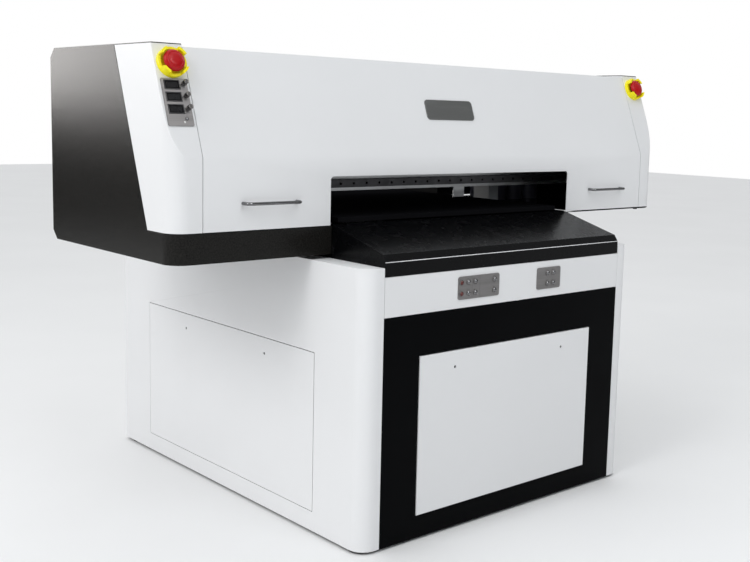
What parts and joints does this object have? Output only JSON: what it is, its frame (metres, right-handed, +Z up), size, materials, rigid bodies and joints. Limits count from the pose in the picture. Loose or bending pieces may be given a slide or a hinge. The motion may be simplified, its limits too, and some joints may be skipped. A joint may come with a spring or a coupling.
{
  "type": "flatbed uv printer",
  "caption": "Floor-standing flatbed printer: white and black cabinet, travelling bed, and a wide overhanging hood with a hinged lid over a lifting beam and carriage.",
  "frame": {"origin": "on the floor, at the centre of the bounding box seen from above", "axes": "+X to the right of someone facing the front, +Y towards the back, +Z up"},
  "size_m": [1.5, 1.036, 1.024],
  "materials": {
    "white_paint": "satin white powder coat",
    "black_paint": "satin black powder coat",
    "texture_black": "fine-textured black powder coat",
    "frame_steel": "grey powder coat",
    "brushed_plate": "brushed",
    "machined_alu": "machined",
    "bed_alu": "black anodised",
    "ground_steel": "ground",
    "dark_steel": "dark oxide",
    "chrome_trim": "polished",
    "motor_black": "matte black",
    "black_plastic": "matte",
    "grey_plastic": "matte",
    "yellow_plastic": "gloss",
    "red_plastic": "gloss",
    "lamp_red": "translucent lens",
    "display_black": "gloss display",
    "belt_rubber": "reinforced rubber",
    "foot_rubber": "rubber",
    "ink_bottle": "matte",
    "zinc_screw": "black zinc"
  },
  "bodies": {
    "body": {"levelling_feet": "foot_rubber", "base_frame": "frame_steel", "side_panel_left": "white_paint", "side_panel_right": "white_paint", "access_panels": "white_paint", "front_frame": "black_paint", "control_fascia": "white_paint", "front_apron": "black_paint", "rear_panel": "white_paint", "rear_fence": "black_paint", "panel_screws": "zinc_screw", "control_plates": "brushed_plate", "gauge_displays": "display_black", "indicator_lamps": "lamp_red", "switch_bodies": "chrome_trim", "end_cap_left": "white_paint", "end_cap_right": "white_paint", "side_shell_left": "texture_black", "side_shell_right": "texture_black", "rear_cover": "black_paint", "hinge_pins": "ground_steel", "estop_guards": "yellow_plastic", "gantry_frame": "frame_steel", "guide_rails": "ground_steel", "axis_motors": "motor_black", "capping_station": "grey_plastic", "ink_bottles": "ink_bottle", "electronics_box": "dark_steel"},
    "lid": {"lid_panel": "white_paint", "lid_handles": "chrome_trim", "badge_plate": "brushed_plate"},
    "bed": {"bed_plate": "bed_alu", "bed_saddle": "machined_alu"},
    "beam_unit": {"beam": "machined_alu", "x_rail": "dark_steel", "x_belt": "belt_rubber", "x_motor": "motor_black"},
    "carriage": {"carriage_body": "black_plastic", "print_heads": "machined_alu", "uv_lamp": "grey_plastic"},
    "y_screw_body": {"y_screw": "ground_steel"},
    "lift_screw_body": {"lift_screw": "ground_steel"},
    "drive_pulley_body": {"drive_pulley": "ground_steel"},
    "idler_pulley_body": {"idler_pulley": "ground_steel"},
    "estop_left_body": {"estop_left": "red_plastic"},
    "estop_right_body": {"estop_right": "red_plastic"},
    "knob_body_1": {"gauge_knob_1": "chrome_trim"},
    "knob_body_2": {"gauge_knob_2": "chrome_trim"},
    "knob_body_3": {"gauge_knob_3": "chrome_trim"},
    "gauge_button_body": {"gauge_button": "chrome_trim"},
    "button_body_1": {"button_1": "chrome_trim"},
    "button_body_2": {"button_2": "chrome_trim"},
    "button_body_3": {"button_3": "chrome_trim"},
    "button_body_4": {"button_4": "chrome_trim"},
    "button_body_5": {"button_5": "chrome_trim"},
    "button_body_6": {"button_6": "chrome_trim"},
    "button_body_7": {"button_7": "chrome_trim"},
    "button_body_8": {"button_8": "chrome_trim"},
    "button_body_9": {"button_9": "chrome_trim"},
    "button_body_10": {"button_10": "chrome_trim"}
  },
  "joints": [
    {"name": "lid_hinge", "type": "hinge", "parent": "body", "child": "lid", "pos_m": [0, -0.106, 1.018], "axis": [-1, 0, 0], "range_deg": [0, 68]},
    {"name": "bed_travel", "type": "slide", "parent": "body", "child": "bed", "axis": [0, -1, 0], "range_m": [0, 0.46]},
    {"name": "beam_lift", "type": "slide", "parent": "body", "child": "beam_unit", "axis": [0, 0, 1], "range_m": [-0.017, 0.08]},
    {"name": "carriage_travel", "type": "slide", "parent": "beam_unit", "child": "carriage", "axis": [1, 0, 0], "range_m": [-0.01, 1.06]},
    {"name": "bed_screw_turn", "type": "hinge", "parent": "body", "child": "y_screw_body", "pos_m": [0, 0, 0.56], "axis": [0, 1, 0], "range_deg": [-10, 8290]},
    {"name": "lift_screw_turn", "type": "hinge", "parent": "body", "child": "lift_screw_body", "pos_m": [0, -0.09, 0.8], "axis": [0, 0, 1], "range_deg": [-1234, 5770]},
    {"name": "drive_pulley_turn", "type": "hinge", "parent": "beam_unit", "child": "drive_pulley_body", "pos_m": [0.656, -0.203, 0.8], "axis": [0, -1, 0], "range_deg": [-48.2, 4058.9]},
    {"name": "idler_pulley_turn", "type": "hinge", "parent": "beam_unit", "child": "idler_pulley_body", "pos_m": [-0.656, -0.203, 0.8], "axis": [0, -1, 0], "range_deg": [-48.2, 4058.9]},
    {"name": "estop_left_press", "type": "slide", "parent": "body", "child": "estop_left_body", "axis": [0, 0.9377, -0.3473], "range_m": [0, 0.004], "stiffness_N_per_m": 2500},
    {"name": "estop_right_press", "type": "slide", "parent": "body", "child": "estop_right_body", "axis": [0, 0.9377, -0.3473], "range_m": [0, 0.004], "stiffness_N_per_m": 2500},
    {"name": "gauge_knob_1_turn", "type": "hinge", "parent": "body", "child": "knob_body_1", "pos_m": [-0.6985, -0.28494, 0.94585], "axis": [0, -0.9377, 0.3473], "range_deg": [-150, 150]},
    {"name": "gauge_knob_2_turn", "type": "hinge", "parent": "body", "child": "knob_body_2", "pos_m": [-0.6985, -0.29363, 0.92241], "axis": [0, -0.9377, 0.3473], "range_deg": [-150, 150]},
    {"name": "gauge_knob_3_turn", "type": "hinge", "parent": "body", "child": "knob_body_3", "pos_m": [-0.6985, -0.30231, 0.89896], "axis": [0, -0.9377, 0.3473], "range_deg": [-150, 150]},
    {"name": "gauge_button_press", "type": "slide", "parent": "body", "child": "gauge_button_body", "axis": [0, 0.9377, -0.3473], "range_m": [0, 0.0015], "stiffness_N_per_m": 400},
    {"name": "button_1_press", "type": "slide", "parent": "body", "child": "button_body_1", "axis": [0, 1, 0], "range_m": [0, 0.0015], "stiffness_N_per_m": 400},
    {"name": "button_2_press", "type": "slide", "parent": "body", "child": "button_body_2", "axis": [0, 1, 0], "range_m": [0, 0.0015], "stiffness_N_per_m": 400},
    {"name": "button_3_press", "type": "slide", "parent": "body", "child": "button_body_3", "axis": [0, 1, 0], "range_m": [0, 0.0015], "stiffness_N_per_m": 400},
    {"name": "button_4_press", "type": "slide", "parent": "body", "child": "button_body_4", "axis": [0, 1, 0], "range_m": [0, 0.0015], "stiffness_N_per_m": 400},
    {"name": "button_5_press", "type": "slide", "parent": "body", "child": "button_body_5", "axis": [0, 1, 0], "range_m": [0, 0.0015], "stiffness_N_per_m": 400},
    {"name": "button_6_press", "type": "slide", "parent": "body", "child": "button_body_6", "axis": [0, 1, 0], "range_m": [0, 0.0015], "stiffness_N_per_m": 400},
    {"name": "button_7_press", "type": "slide", "parent": "body", "child": "button_body_7", "axis": [0, 1, 0], "range_m": [0, 0.0015], "stiffness_N_per_m": 400},
    {"name": "button_8_press", "type": "slide", "parent": "body", "child": "button_body_8", "axis": [0, 1, 0], "range_m": [0, 0.0015], "stiffness_N_per_m": 400},
    {"name": "button_9_press", "type": "slide", "parent": "body", "child": "button_body_9", "axis": [0, 1, 0], "range_m": [0, 0.0015], "stiffness_N_per_m": 400},
    {"name": "button_10_press", "type": "slide", "parent": "body", "child": "button_body_10", "axis": [0, 1, 0], "range_m": [0, 0.0015], "stiffness_N_per_m": 400}
  ],
  "couplings": [
    {"joint": "bed_screw_turn", "follows": "bed_travel", "rad_per_m": 314.16},
    {"joint": "lift_screw_turn", "follows": "beam_lift", "rad_per_m": 1256.6},
    {"joint": "drive_pulley_turn", "follows": "carriage_travel", "rad_per_m": 66.667},
    {"joint": "idler_pulley_turn", "follows": "carriage_travel", "rad_per_m": 66.667}
  ]
}
